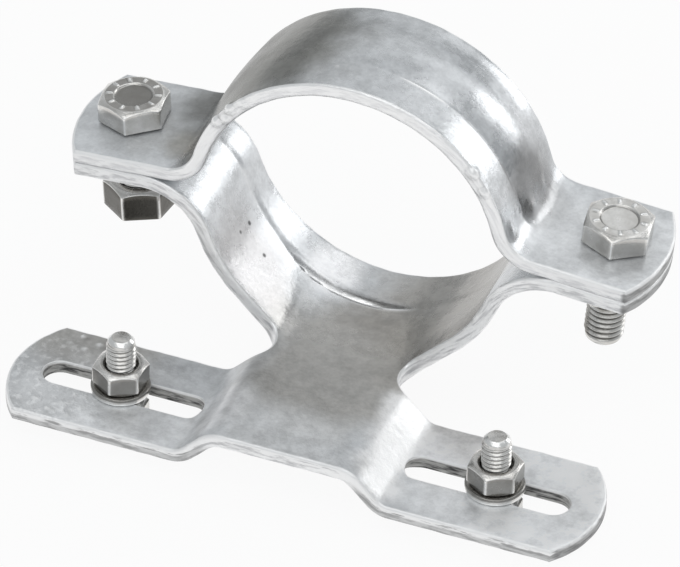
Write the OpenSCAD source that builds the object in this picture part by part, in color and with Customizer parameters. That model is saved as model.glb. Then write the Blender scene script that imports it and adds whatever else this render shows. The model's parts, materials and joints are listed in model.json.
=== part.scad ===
// Tube post clamp bracket: a two-part clamp for a round post, with a slotted bar
// that carries a sign or panel on two bolts.
// Millimetres, Z up. The post runs along Y and the origin is the middle of the bore.

/* [Clamp ring] */
// Inside diameter of the closed clamp
bore_d = 61; // [56:0.5:66]
// Width of the strap along the post
strap_w = 28; // [24:0.5:32]
// Thickness of the sheet that both halves are bent from
sheet_t = 3; // [2.5:0.1:3.5]
// Width of the stiffening bead at its foot
bead_w = 10; // [8:0.5:12]
// Width of the bead at its crown
bead_crown_w = 6; // [5:0.5:7]
// Height of the bead above the strap
bead_h = 1.2; // [0.6:0.1:1.6]
// Middle of the bead, measured from the middle of the strap
bead_y = -0.5; // [-2:0.1:2]
// Angle from the level at which the bead has run out into the cap's bends
cap_bead_end = 5; // [4:1:8]
// Angle from the level at which the bead has run out into the base's bends
base_bead_end = 10; // [8:1:14]

/* [Ears] */
// Distance by which an ear's tip lies inside a wing's tip
ear_set_in = 0.5; // [0:0.1:2]
// Radius of an ear's rounded tip
ear_end_r = 28; // [20:1:60]
// Angle by which the ears droop
ear_droop = 4; // [0:0.5:5]
// Distance from the post's axis at which the two ears meet at the axis's height
level_x = 42; // [36:1:46]
// Bend radius between the ring and the cap's ears
cap_bend_r = 4; // [3:0.5:6]
// Bend radius between the ring and the base's ears, or less where a nut's seat needs the room
base_bend_r = 12; // [8:0.5:12]
// Distance from an ear's tip to a clamp bolt
clamp_bolt_edge = 11; // [10:0.5:12]
// Clamp bolts, measured from the middle of the strap
clamp_bolt_y = 0.8; // [-1:0.1:1]
// Hole in an ear
clamp_hole_d = 9; // [8.4:0.1:10]

/* [Neck and bar] */
// Angle of the flattened bottom at the front of the base ring
press_angle = 41; // [30:1:44]
// Bend radius at the sides of the flattened bottom
press_bend_r = 6; // [3:0.5:8]
// Width of the neck
neck_w = 27; // [22:0.5:30]
// Gap between the ring and the bar
neck_gap = 6.5; // [5:0.5:9]
// Radius of the corner between the neck and the bar
neck_r = 3; // [1:0.5:4]
// Depth of the bar along the post
bar_depth = 28; // [24:0.5:34]
// Width of the bar's raised middle before it starts to bend
bar_mid_w = 24; // [20:0.5:28]
// Height by which the wings step down
bar_step = 6.7; // [5:0.1:8]
// Bend radius of the step
bar_bend_r = 4; // [3:0.5:5]
// Distance from the middle to a wing's tip
wing_reach = 62; // [61:0.5:68]
// Radius of a wing's rounded tip
wing_end_r = 20.5; // [18:0.5:40]
// Width of a slot
slot_w = 7; // [6.4:0.1:8]
// End-to-end length of a slot
slot_len = 34.5; // [30:0.5:36]
// Distance from a slot's outer end to the wing's tip
slot_edge = 6.5; // [5:0.1:8]

/* [Clamp bolts] */
// Thread diameter of a clamp bolt
clamp_thread_d = 8; // [7:0.1:8.2]
// Length of a clamp bolt under its head
clamp_bolt_len = 25; // [24:1:35]
// Width across the flats of a clamp bolt's head and nut
clamp_hex = 13; // [12:0.1:14]
// Height of a clamp bolt's head
clamp_head_k = 5.3; // [4:0.1:6]
// Height of a clamp nut
clamp_nut_m = 6.5; // [5:0.1:7]
// Gap between the ear and the loose left nut
left_nut_gap = 8.5; // [0:0.1:9]
// Turn of the left head about its bolt
left_head_turn = 18; // [0:1:60]
// Turn of the right head about its bolt
right_head_turn = 30; // [0:1:60]
// Turn of the left nut about its bolt
left_nut_turn = 27; // [0:1:60]
// Turn of the right nut about its bolt
right_nut_turn = 20; // [0:1:60]

/* [Sign bolts] */
// Thread diameter of a sign bolt
sign_thread_d = 6; // [5:0.1:6.2]
// Length of a sign bolt under its head
sign_bolt_len = 16; // [14:1:25]
// Width across the flats of a sign bolt's head and nut
sign_hex = 10; // [9:0.1:11]
// Height of a sign bolt's head
sign_head_k = 4; // [3:0.1:5]
// Height of a sign nut
sign_nut_m = 5; // [4:0.1:5.5]
// Diameter of a washer
washer_d = 12; // [11:0.1:13]
// Thickness of a washer
washer_t = 1.6; // [1:0.1:2]
// Gap between a washer's hole and its bolt
washer_gap = 0.2; // [0.1:0.05:0.4]
// Distance from its slot's middle out to the left sign bolt
sign_left_out = 0.75; // [-8:0.25:8]
// Distance from its slot's middle out to the right sign bolt
sign_right_out = 1.75; // [-8:0.25:8]
// Turn of the left sign nut
sign_left_turn = 24; // [0:1:60]
// Turn of the right sign nut
sign_right_turn = 29; // [0:1:60]

/* [Fastener details] */
// Step from a hexagon's flats in to its round end face
face_inset = 0.3; // [0.1:0.05:0.5]
// Slope of a hexagon's turned-off corners
corner_slope = 30; // [20:1:40]
// Width of the rim around the dish in a bolt's head
dish_rim = 2.3; // [1.5:0.1:3]
// Depth of that dish
dish_depth = 0.5; // [0.2:0.1:0.8]
// Chamfer at a bolt's end
end_chamfer = 0.7; // [0.3:0.1:1]

/* [Hidden] */
$fn = 96;
over = 1;
seam = 0.02;
bore_r = bore_d / 2;
ring_r = bore_r + sheet_t;
ear_reach = wing_reach - ear_set_in;
clamp_bolt_x = ear_reach - clamp_bolt_edge;
// height of the plane where the ears meet, in the drooped frame
meet_z = level_x * sin(ear_droop);
ear_top_z = meet_z + sheet_t;
ear_bottom_z = meet_z - sheet_t;
// directions across and along a right ear, seen along the post
ear_up = [sin(ear_droop), cos(ear_droop)];
ear_out = [cos(ear_droop), -sin(ear_droop)];
// bend centres on the right side: the sheet leaves the ring at a tangent and runs out into the ear
cap_bend_z = ear_top_z + cap_bend_r;
cap_bend_x = sqrt(pow(ring_r + cap_bend_r, 2) - pow(cap_bend_z, 2));
cap_bend = cap_bend_x * ear_out + cap_bend_z * ear_up;
// the base's bend ends before the nut's seat
nut_seat_x = clamp_bolt_x - clamp_hex / 2;
seat_room = (pow(nut_seat_x, 2) - pow(ring_r, 2) + pow(ear_bottom_z, 2)) / (2 * (ring_r + ear_bottom_z));
base_bend_fit = min(base_bend_r, seat_room);
base_bend_z = ear_bottom_z - base_bend_fit;
base_bend_x = sqrt(pow(ring_r + base_bend_fit, 2) - pow(base_bend_z, 2));
base_bend = base_bend_x * ear_out + base_bend_z * ear_up;
far = 3 * ring_r;
// the bead's inner face follows the outer one at the sheet's thickness
bead_slope = atan2(bead_h, (bead_w - bead_crown_w) / 2);
bead_shift = sheet_t * tan(bead_slope / 2);
groove_w = bead_w - 2 * bead_shift;
groove_crown_w = bead_crown_w - 2 * bead_shift;
press_back_y = bead_y - groove_crown_w / 2;
// the bar
bar_back_y = -strap_w / 2 - neck_gap;
bar_front_y = bar_back_y - bar_depth;
bar_y = (bar_back_y + bar_front_y) / 2;
step_x = bar_mid_w / 2;
step_run = 2 * bar_bend_r + sheet_t;
step_a = acos(1 - bar_step / step_run);
wing_x = step_x + step_run * sin(step_a);
wing_top_z = -bore_r - bar_step;
wing_bottom_z = wing_top_z - sheet_t;
slot_x = wing_reach - slot_edge - slot_len / 2;
// the sign bolts
sign_left_x = slot_x + sign_left_out;
sign_right_x = slot_x + sign_right_out;
sign_nut_z = wing_top_z + washer_t;
washer_hole_d = sign_thread_d + 2 * washer_gap;

zinc = [0.70, 0.72, 0.73];
steel = [0.62, 0.62, 0.61];

// a flat X-Z shape drawn out along Y
module along_y(front, back) {
  translate([0, back, 0])
    rotate([90, 0, 0])
      linear_extrude(height = back - front)
        children();
}

// a flat sector between two angles, larger than the ring
module sector_2d(a1, a2) {
  span = (a2 - a1) / 3;
  polygon([[0, 0],
           [far * cos(a1), far * sin(a1)],
           [far * cos(a1 + span), far * sin(a1 + span)],
           [far * cos(a1 + 2 * span), far * sin(a1 + 2 * span)],
           [far * cos(a2), far * sin(a2)]]);
}

// a slice of a disc about a centre, cut to a polygon
module slice_2d(centre, r, cut) {
  intersection() {
    translate(centre)
      circle(r = r);
    polygon(cut);
  }
}

// what a polygon has outside a disc about a centre
module beyond_2d(centre, r, cut) {
  difference() {
    polygon(cut);
    translate(centre)
      circle(r = r);
  }
}

// One half of the clamp seen along the post. The children are the ring's outline and its bore, and
// centre and r are those of the right bend, which runs out into the ear. way is 1 for the upper half
// and -1 for the lower. A bend is drawn larger by the seam, so that it crosses the ring and the ear.
module half_2d(centre, r, way) {
  meet = meet_z * ear_up;
  out = (ear_reach + over) * ear_out;
  inner = meet - way * over * ear_up;
  outer = meet + way * sheet_t * ear_up;
  in_ear = centre - way * (r + sheet_t / 2) * ear_up;
  tip = meet + out;
  difference() {
    union() {
      children(0);
      for (side = [0, 1])
        mirror([side, 0]) {
          polygon([inner, inner + out, outer + out, outer]);
          beyond_2d(centre, r + seam, [[0, 0], centre, in_ear]);
        }
    }
    children(1);
    for (side = [0, 1])
      mirror([side, 0])
        beyond_2d(centre, r + sheet_t + seam,
                  [[0, 0], centre, centre - way * far * ear_up, [0, -way * far]]);
    polygon([[0, meet_z / cos(ear_droop)], tip, [far, -way * far],
             [-far, -way * far], [-tip[0], tip[1]]]);
  }
}

// the right side's drooped frame, or its mirror image for the left
module ear_frame(side) {
  if (side > 0)
    rotate([0, ear_droop, 0]) children();
  else
    mirror([1, 0, 0]) rotate([0, ear_droop, 0]) children();
}

// what is cut from the ears: all beyond their rounded tips, and the bolt holes
module ear_cuts() {
  for (side = [-1, 1])
    ear_frame(side)
      translate([0, 0, -ring_r])
        linear_extrude(height = 2 * ring_r) {
          difference() {
            translate([ear_reach - ear_end_r / 2, -strap_w])
              square([ear_end_r, 2 * strap_w]);
            translate([ear_reach - ear_end_r, 0])
              circle(r = ear_end_r);
          }
          translate([clamp_bolt_x, clamp_bolt_y])
            circle(d = clamp_hole_d);
        }
}

// a ring of the bead's shape standing on radius r, between two angles
module bead(r, foot_w, crown_w, below, a1, a2) {
  intersection() {
    translate([0, bead_y, 0])
      rotate([90, 0, 0])
        rotate_extrude()
          polygon([[r - below, -foot_w / 2],
                   [r, -foot_w / 2],
                   [r + bead_h, -crown_w / 2],
                   [r + bead_h, crown_w / 2],
                   [r, foot_w / 2],
                   [r - below, foot_w / 2]]);
    along_y(-strap_w, strap_w)
      sector_2d(a1, a2);
  }
}

// the outline of a ring whose bottom is pressed flat, with corners of radius bend
module pressed_2d(r, bend) {
  half = press_angle / 2;
  middle = (r - bend) / cos(half);
  cx = middle * sin(half);
  cz = -middle * cos(half);
  circle(r = r);
  slope = [sin(press_angle), -cos(press_angle)];
  start = (r - seam) * slope;
  end = [cx, cz] + (bend - seam) * slope;
  polygon([[0, 0], start, end, [cx, -r], [-cx, -r], [-end[0], end[1]], [-start[0], start[1]]]);
  for (side = [-1, 1])
    translate([side * cx, cz])
      circle(r = bend);
}

// the bar seen from the front: raised middle, steps and wings
module bar_2d() {
  upper = [step_x, -ring_r - bar_bend_r];
  lower = [wing_x, wing_top_z + bar_bend_r];
  outer_r = bar_bend_r + sheet_t + seam;
  intersection() {
    translate([-far, wing_bottom_z])
      square([2 * far, bar_step + sheet_t]);
    union() {
      translate([-step_x, -ring_r])
        square([bar_mid_w, sheet_t]);
      for (side = [0, 1])
        mirror([side, 0]) {
          difference() {
            union() {
              slice_2d(upper, outer_r, [upper, [step_x, 0], [far, 0], lower]);
              slice_2d(lower, outer_r, [lower, [wing_x, -far], [-far, -far], upper]);
            }
            translate(upper)
              circle(r = bar_bend_r);
            translate(lower)
              circle(r = bar_bend_r);
          }
          translate([wing_x, wing_bottom_z])
            square([wing_reach - wing_x, sheet_t]);
        }
    }
  }
}

// a slot along X
module slot_2d() {
  run = slot_len - slot_w;
  translate([-run / 2, -slot_w / 2])
    square([run, slot_w]);
  for (end = [-1, 1])
    translate([end * run / 2, 0])
      circle(d = slot_w);
}

// the bar and neck seen from above
module plan_2d() {
  difference() {
    union() {
      intersection() {
        translate([-wing_reach, bar_front_y])
          square([2 * wing_reach, bar_depth]);
        union() {
          translate([-wing_x, bar_front_y])
            square([2 * wing_x, bar_depth]);
          for (side = [-1, 1])
            intersection() {
              translate([side * (wing_reach - wing_end_r), bar_y])
                circle(r = wing_end_r);
              translate([side * wing_reach / 2 - wing_reach / 2, bar_front_y])
                square([wing_reach, bar_depth]);
            }
          for (side = [-1, 1])
            translate([side * (wing_x + wing_reach - wing_end_r) / 2, bar_y])
              square([abs(wing_reach - wing_end_r - wing_x) + over, bar_depth], center = true);
        }
      }
      translate([-neck_w / 2, bar_back_y - over])
        square([neck_w, neck_gap + 3 * over]);
      for (side = [0, 1])
        mirror([side, 0])
          difference() {
            translate([neck_w / 2 - over, bar_back_y - over])
              square([neck_r + over, neck_r + over]);
            translate([neck_w / 2 + neck_r, bar_back_y + neck_r])
              circle(r = neck_r);
          }
    }
    for (side = [-1, 1])
      translate([side * slot_x, bar_y])
        slot_2d();
  }
}

// a hexagon bar end with its corners turned off at the top, and at the bottom too for a nut
module hex_block(across, high, turn, both) {
  face_r = across / 2 - face_inset;
  slope = high / tan(corner_slope);
  intersection() {
    rotate([0, 0, turn])
      cylinder(d = across / cos(30), h = high, $fn = 6);
    cylinder(r1 = face_r + slope, r2 = face_r, h = high);
    if (both)
      cylinder(r1 = face_r, r2 = face_r + slope, h = high);
    else
      cylinder(r = across, h = high);
  }
}

// a hexagon bolt with its head upward, the head's underside at zero
module hex_bolt(thread_d, long, across, high, turn) {
  difference() {
    hex_block(across, high, turn, false);
    translate([0, 0, high - dish_depth])
      cylinder(d = across - 2 * dish_rim, h = high);
  }
  translate([0, 0, -long + end_chamfer])
    cylinder(d = thread_d, h = long - end_chamfer + high / 2);
  translate([0, 0, -long])
    cylinder(d1 = thread_d - 2 * end_chamfer, d2 = thread_d, h = end_chamfer);
}

// a hexagon nut standing on zero
module hex_nut(thread_d, across, high, turn) {
  difference() {
    hex_block(across, high, turn, true);
    translate([0, 0, -over])
      cylinder(d = thread_d, h = high + 2 * over);
  }
}

module clamp_cap() {
  color(zinc)
    difference() {
      union() {
        along_y(-strap_w / 2, strap_w / 2)
          half_2d(cap_bend, cap_bend_r, 1) {
            circle(r = ring_r);
            circle(r = bore_r);
          }
        bead(ring_r, bead_w, bead_crown_w, sheet_t / 4, cap_bead_end, 180 - cap_bead_end);
      }
      bead(bore_r, groove_w, groove_crown_w, over, cap_bead_end, 180 - cap_bead_end);
      ear_cuts();
    }
}

module base_bracket() {
  color(zinc)
    difference() {
      union() {
        along_y(press_back_y, strap_w / 2)
          half_2d(base_bend, base_bend_fit, -1) {
            circle(r = ring_r);
            circle(r = bore_r);
          }
        along_y(-strap_w / 2, press_back_y + seam)
          half_2d(base_bend, base_bend_fit, -1) {
            pressed_2d(ring_r, press_bend_r + sheet_t);
            pressed_2d(bore_r, press_bend_r);
          }
        bead(ring_r, bead_w, bead_crown_w, sheet_t / 4, 180 + base_bead_end, 360 - base_bead_end);
        intersection() {
          along_y(bar_front_y, -strap_w / 2 + 2 * over)
            bar_2d();
          translate([0, 0, wing_bottom_z - over])
            linear_extrude(height = bar_step + sheet_t + 2 * over)
              plan_2d();
        }
      }
      bead(bore_r, groove_w, groove_crown_w, over, 180 + base_bead_end, 360 - base_bead_end);
      ear_cuts();
    }
}

module clamp_bolt(side, turn) {
  ear_frame(side)
    translate([clamp_bolt_x, clamp_bolt_y, ear_top_z])
      hex_bolt(clamp_thread_d, clamp_bolt_len, clamp_hex, clamp_head_k, turn);
}

module clamp_nut(side, turn, gap) {
  ear_frame(side)
    translate([clamp_bolt_x, clamp_bolt_y, ear_bottom_z - gap - clamp_nut_m])
      hex_nut(clamp_thread_d, clamp_hex, clamp_nut_m, turn);
}

module sign_bolt(x, turn) {
  translate([x, bar_y, wing_bottom_z])
    rotate([180, 0, 0])
      hex_bolt(sign_thread_d, sign_bolt_len, sign_hex, sign_head_k, turn);
}

module sign_washer(x) {
  translate([x, bar_y, wing_top_z])
    difference() {
      cylinder(d = washer_d, h = washer_t);
      translate([0, 0, -over])
        cylinder(d = washer_hole_d, h = washer_t + 2 * over);
    }
}

module sign_nut(x, turn) {
  translate([x, bar_y, sign_nut_z])
    hex_nut(sign_thread_d, sign_hex, sign_nut_m, turn);
}

module clamp_bolt_left() {
  color(steel) clamp_bolt(-1, left_head_turn);
}

module clamp_bolt_right() {
  color(steel) clamp_bolt(1, right_head_turn);
}

module clamp_nut_left() {
  color(steel) clamp_nut(-1, left_nut_turn, left_nut_gap);
}

module clamp_nut_right() {
  color(steel) clamp_nut(1, right_nut_turn, 0);
}

module sign_bolt_left() {
  color(steel) sign_bolt(-sign_left_x, 0);
}

module sign_bolt_right() {
  color(steel) sign_bolt(sign_right_x, 0);
}

module sign_washer_left() {
  color(steel) sign_washer(-sign_left_x);
}

module sign_washer_right() {
  color(steel) sign_washer(sign_right_x);
}

module sign_nut_left() {
  color(steel) sign_nut(-sign_left_x, sign_left_turn);
}

module sign_nut_right() {
  color(steel) sign_nut(sign_right_x, sign_right_turn);
}

clamp_cap();
base_bracket();
clamp_bolt_left();
clamp_bolt_right();
clamp_nut_left();
clamp_nut_right();
sign_bolt_left();
sign_bolt_right();
sign_washer_left();
sign_washer_right();
sign_nut_left();
sign_nut_right();
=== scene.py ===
"""Looks of the tube post clamp bracket: two galvanised sheet halves, plated bolts, nuts and washers.

Shapes are worked out in millimetres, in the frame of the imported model, and become metres when a mesh is made.
"""
import json
import math

import bmesh
import bpy
import numpy as np
from mathutils import Matrix, Vector
from mathutils.geometry import delaunay_2d_cdt


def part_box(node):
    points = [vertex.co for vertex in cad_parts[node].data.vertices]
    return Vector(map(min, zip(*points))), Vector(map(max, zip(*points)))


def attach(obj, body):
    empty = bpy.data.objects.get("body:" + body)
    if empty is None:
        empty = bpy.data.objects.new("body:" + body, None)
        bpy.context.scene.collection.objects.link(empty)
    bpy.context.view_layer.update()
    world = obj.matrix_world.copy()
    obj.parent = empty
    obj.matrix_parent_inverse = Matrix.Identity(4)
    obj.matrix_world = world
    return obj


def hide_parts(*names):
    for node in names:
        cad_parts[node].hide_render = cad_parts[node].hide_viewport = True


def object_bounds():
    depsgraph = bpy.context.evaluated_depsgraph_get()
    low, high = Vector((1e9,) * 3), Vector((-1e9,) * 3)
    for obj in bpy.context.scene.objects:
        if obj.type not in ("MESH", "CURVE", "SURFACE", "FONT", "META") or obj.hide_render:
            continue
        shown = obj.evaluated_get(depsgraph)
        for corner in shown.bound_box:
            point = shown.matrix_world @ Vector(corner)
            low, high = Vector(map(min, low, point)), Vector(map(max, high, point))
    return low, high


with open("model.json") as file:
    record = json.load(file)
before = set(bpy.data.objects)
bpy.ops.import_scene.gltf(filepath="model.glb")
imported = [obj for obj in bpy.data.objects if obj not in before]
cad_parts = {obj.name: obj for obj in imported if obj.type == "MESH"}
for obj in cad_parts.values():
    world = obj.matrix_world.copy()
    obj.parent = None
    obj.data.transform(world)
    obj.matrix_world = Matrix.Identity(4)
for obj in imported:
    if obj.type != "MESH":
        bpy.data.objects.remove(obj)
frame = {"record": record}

MM = 0.001
CAD_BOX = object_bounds()
MOUNTS = {mount["name"]: mount for mount in frame["record"]["mounts"]}

# Sheet, in millimetres, from the frame where it says
BORE_R = MOUNTS["post_clamp"]["dims"]["r_mm"]
STRAP_W = MOUNTS["post_clamp"]["dims"]["length_mm"]
SHEET_T = 3.0
MID_R = BORE_R + SHEET_T / 2
RING_R = BORE_R + SHEET_T

# Stiffening bead across the strap: front foot, crown and back foot on the cap, and its height
CAP_BEAD = (-5.0, 2.5, 12.0)
CAP_BEAD_H = 1.1

# Lengths along the cap over which a barrel on the left gives way to the bead
CAP_BLEND = (-16.0, 8.0)

# Share of the bead's rise that softens its foot, and how far the strap rises again at its front edge
FOOT_SOFT = 0.12
FRONT_RISE = 0.2

# Shares of an ear's bend over which a bead runs out
BEAD_END = (0.1, 0.9)

# In the base the bead rises slowly from the front edge and ends in a step, further back on the left
BASE_STEP = (2.7, 4.7)
BASE_STEP_SLANT = 3.2
SLANT_RUN = (8, 34)
BASE_BEAD_H = 1.0

# What the base's bead loses up the left side, to the right of the middle and where the ring is flattened
LEFT_LOSS = 0.7
LEFT_RUN = (12, 26)
RIGHT_LOSS = 0.9
RIGHT_RUN = (-3, 20)
PRESSED_LOSS = 0.5

# Lines of painted highlight and painted shade along the beads: lengths over which each begins and ends, and
# half widths
CAP_HIGHLIGHT_RUN = ((5, 9), (15, 18))
CAP_SHADE_RUN = ((18, 22), (34, 42))
CAP_SHADE_SHARE = 0.65
CAP_LINE_W = 0.45
BASE_HIGHLIGHT_RUN = ((-20, -6), (2, 13))
BASE_FAINT_SHARE = 0.3
BASE_LINE_V = BASE_STEP[0] + 0.5
BASE_LINE_W = 1.1

# Rolled edges: radii, how far the zinc makes the outer one uneven, the lengths and phases of the waves that
# do it, and the rows of points over a roll and down the side
EDGE_R = 0.65
HOLE_EDGE_R = 0.35
RIM_UNEVEN = 0.18
RIM_WAVES = ((4.3, 0.4), (7.1, 2.0), (12.7, 4.4))
ROLL_STEPS = 4
SIDE_STEPS = 4

# Ears, in the frame that droops with them
DROOP = math.radians(4)
LEVEL_X = 42.0
MEET_Z = LEVEL_X * math.sin(DROOP)
WING_REACH = round(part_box("base_bracket")[1].x / MM, 1)
EAR_REACH = WING_REACH - 0.5
EAR_END_R = 28.0
CAP_BEND_R = 6.5
BASE_BEND_R = 12.0
CLAMP_X = EAR_REACH - 11.0
CLAMP_Y = 0.8
CLAMP_HOLE_D = 9.0

# Neck and bar: where the ring is flattened in front and how softly, and how softly the neck leaves the strap
PRESS_ANGLE = math.radians(45)
PRESS_BEND_R = 7.0
PRESS_RUN = (-2.0, 12.0)
PRESS_SOFT = 6.0
NECK_HALF = 13.5
NECK_R = 3.0
NECK_LEAD = 3.0
NECK_SOFT = 3.0
BAR_FRONT_Y = round(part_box("base_bracket")[0].y / MM, 1)
BAR_BACK_Y = BAR_FRONT_Y + 28.0
BAR_Y = (BAR_FRONT_Y + BAR_BACK_Y) / 2
STEP_X = 12.0
BAR_STEP = 6.7
BAR_BEND_R = 4.0
STEP_TURN = math.radians(46)
WING_END_R = 20.5
SLOT_W = 2 * MOUNTS["sign_rail"]["dims"]["hole_r_mm"]
SLOT_LEN = MOUNTS["sign_rail"]["dims"]["slot_length_mm"]
SLOT_X = MOUNTS["sign_rail"]["dims"]["spacing_x_mm"] / 2
WING_TOP_Z = -BORE_R - BAR_STEP

# How fine the sheet's mesh is, along and across the strap
PITCH = (0.7, 0.5)
OUTLINE_PITCH = 0.5
EDGE_CLEAR = 1.3
INSIDE_BATCHES = 40

# How strong a drop's painted highlight is, and the painted shadow round its foot, by its steepness, height over
# radius
DROP_HIGHLIGHT = 1.6
DROP_SHADOW = 0.5

# What is cut off a drop's bell curve, and the middle and half width of the painted shadow round its foot, in
# its radii
DROP_CUT = 0.02
DROP_FOOT_AT = 1.4
DROP_FOOT_W = 0.5


def ease(low, high, x):
    """Smooth step from 0 at low to 1 at high."""
    t = np.clip((x - low) / (high - low), 0, 1)
    return t * t * (3 - 2 * t)


def bent_strip(s, z0, runs):
    """X, Z and heading at length s along a strip that starts level at (0, z0).

    Each run is (length, turn): the heading turns evenly by `turn` over that length, which draws an arc,
    or a straight line where turn is zero. Each point adds up the part of each run that it has passed.
    """
    x = np.zeros_like(s)
    z = np.full_like(s, z0)
    heading = np.zeros_like(s)
    start, passed = 0.0, 0.0
    for length, turn in runs:
        part = np.clip(s - passed, 0, length)
        bend = turn / length
        angle = start + bend * part
        if turn:
            x = x + (np.sin(angle) - math.sin(start)) / bend
            z = z + (math.cos(start) - np.cos(angle)) / bend
        else:
            x = x + part * math.cos(start)
            z = z + part * math.sin(start)
        heading = heading + bend * part
        start += turn
        passed += length
    return x, z, heading


def ear_runs(way, bend_r):
    """Runs of a half's section from its middle out: ring, bend, ear. way is 1 for the cap, -1 for the base.

    The bend's centre lies where both its circles touch the ring and the ear. Also gives the length that
    the strip has gained over the ear's own X by the time the ear is straight.
    """
    centre_z = MEET_Z + way * (SHEET_T + bend_r)
    lift = math.asin(centre_z / (RING_R + bend_r))
    centre_x = (RING_R + bend_r) * math.cos(lift)
    ring_turn = math.pi / 2 - way * (lift - DROOP)
    bend_turn = ring_turn - way * DROOP
    mid_r = bend_r + SHEET_T / 2
    runs = [
        (MID_R * ring_turn, -way * ring_turn),
        (mid_r * bend_turn, way * bend_turn),
        (2 * EAR_REACH, 0.0),
    ]
    return runs, runs[0][0] + runs[1][0] - centre_x


CAP_RUNS, CAP_GAIN = ear_runs(1, CAP_BEND_R)
BASE_RUNS, BASE_GAIN = ear_runs(-1, BASE_BEND_R)

# The flattened front of the base ring: flat, corner, then a straight run back to the ring
PRESS_FLAT = (BORE_R - PRESS_BEND_R) * math.tan(PRESS_ANGLE / 2)
PRESS_ARC = (PRESS_BEND_R + SHEET_T / 2) * PRESS_ANGLE
PRESS_LEN = 2 * PRESS_FLAT + PRESS_ARC
PRESS_ROUND = MID_R * PRESS_ANGLE
PRESSED_RUNS = [
    (PRESS_FLAT, 0.0),
    (PRESS_ARC, PRESS_ANGLE),
    (PRESS_FLAT, 0.0),
    (BASE_RUNS[0][0] - PRESS_ROUND, BASE_RUNS[0][1] - PRESS_ANGLE),
    *BASE_RUNS[1:],
]

# The bar's step: a bend down, a straight slope and an equal bend back to level
STEP_R = BAR_BEND_R + SHEET_T / 2
SLOPE_LEN = (BAR_STEP - 2 * STEP_R * (1 - math.cos(STEP_TURN))) / math.sin(STEP_TURN)
WING_X = STEP_X + 2 * STEP_R * math.sin(STEP_TURN) + SLOPE_LEN * math.cos(STEP_TURN)
STEP_BEND = STEP_R * STEP_TURN
BAR_RUNS = [
    (STEP_X, 0.0),
    (STEP_BEND, -STEP_TURN),
    (SLOPE_LEN, 0.0),
    (STEP_BEND, STEP_TURN),
    (2 * WING_REACH, 0.0),
]
BAR_GAIN = STEP_X + 2 * STEP_BEND + SLOPE_LEN - WING_X


def section(u, z0, runs):
    """Middle of the sheet and its upward normal, at signed length u from a symmetrical section's middle."""
    x, z, heading = bent_strip(np.abs(u), z0, runs)
    side = np.where(u < 0, -1.0, 1.0)
    return np.stack([side * x, z, -side * np.sin(heading), np.cos(heading)])


def run_out(u, runs):
    """1 along the ring, eased to 0 along the bend at each ear."""
    ring = runs[0][0]
    bend = runs[1][0]
    return 1 - ease(ring + BEAD_END[0] * bend, ring + BEAD_END[1] * bend, np.abs(u))


def cap_bead(u, v):
    """Section of the cap's bead: a quarter sine from its front foot to its crown, then eased down.

    Towards the left it is blended into a shallow barrel, a half cosine from edge to edge.
    """
    foot, crown, back = CAP_BEAD
    up = np.clip((v - foot) / (crown - foot), 0, 1)
    bead = np.sin(up * np.pi / 2) * ease(0, FOOT_SOFT, up) * (1 - ease(crown, back, v))
    barrel = np.cos(np.clip(v / STRAP_W, -0.5, 0.5) * np.pi)
    blend = ease(*CAP_BLEND, u)
    return bead * blend + barrel * (1 - blend)


def cap_middle(u, v):
    """Middle surface of the clamp cap over its flat blank: the section along u, lifted outward by the bead.

    In front of the bead the strap rises again towards its edge, with the square of the distance.
    """
    x, z, nx, nz = section(u, MID_R, CAP_RUNS)
    ahead = np.maximum(CAP_BEAD[0] - v, 0) / (STRAP_W / 2 + CAP_BEAD[0])
    lift = (CAP_BEAD_H * cap_bead(u, v) + FRONT_RISE * ahead ** 2) * run_out(u, CAP_RUNS)
    return np.stack([x + lift * nx, v, z + lift * nz], axis=-1)


def line_run(u, starts, ends):
    """1 along a painted line of highlight or shade, eased from 0 where it begins and to 0 where it ends."""
    return ease(*starts, u) * (1 - ease(*ends, u))


def cap_painted_light(u, v):
    """Painted light on the cap, up to 1 for a painted highlight and down to -1 for painted shade: a line along
    the bead's front foot.

    Across the line it falls off as exp(-(distance / half width)^2).
    """
    share = line_run(u, *CAP_HIGHLIGHT_RUN) - CAP_SHADE_SHARE * line_run(u, *CAP_SHADE_RUN)
    return share * np.exp(-((v - CAP_BEAD[0]) / CAP_LINE_W) ** 2)


def off_slant(u, v):
    """Distance across the strap, less the slant of the base's step on the left."""
    return v - BASE_STEP_SLANT * ease(*SLANT_RUN, -u)


def base_bead(u, v):
    """Section of the base's bead: eased up from the front edge, then a short step down at the back.

    It is lower up the left side and fades out to the right of the middle.
    """
    share = 1 - LEFT_LOSS * ease(*LEFT_RUN, -u) - RIGHT_LOSS * ease(*RIGHT_RUN, u)
    return share * ease(-STRAP_W / 2, BASE_STEP[0], v) * (1 - ease(*BASE_STEP, off_slant(u, v)))


def base_painted_highlight(u, v):
    """Painted highlight on the base, up to 1: a line along the front of the bead's step.

    It is faint on the left. Across the line it falls off as exp(-(distance / half width)^2).
    """
    starts, ends = BASE_HIGHLIGHT_RUN
    share = BASE_FAINT_SHARE + (1 - BASE_FAINT_SHARE) * ease(*starts, u)
    across = np.exp(-((off_slant(u, v) - BASE_LINE_V) / BASE_LINE_W) ** 2)
    return share * (1 - ease(*ends, u)) * across


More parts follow.
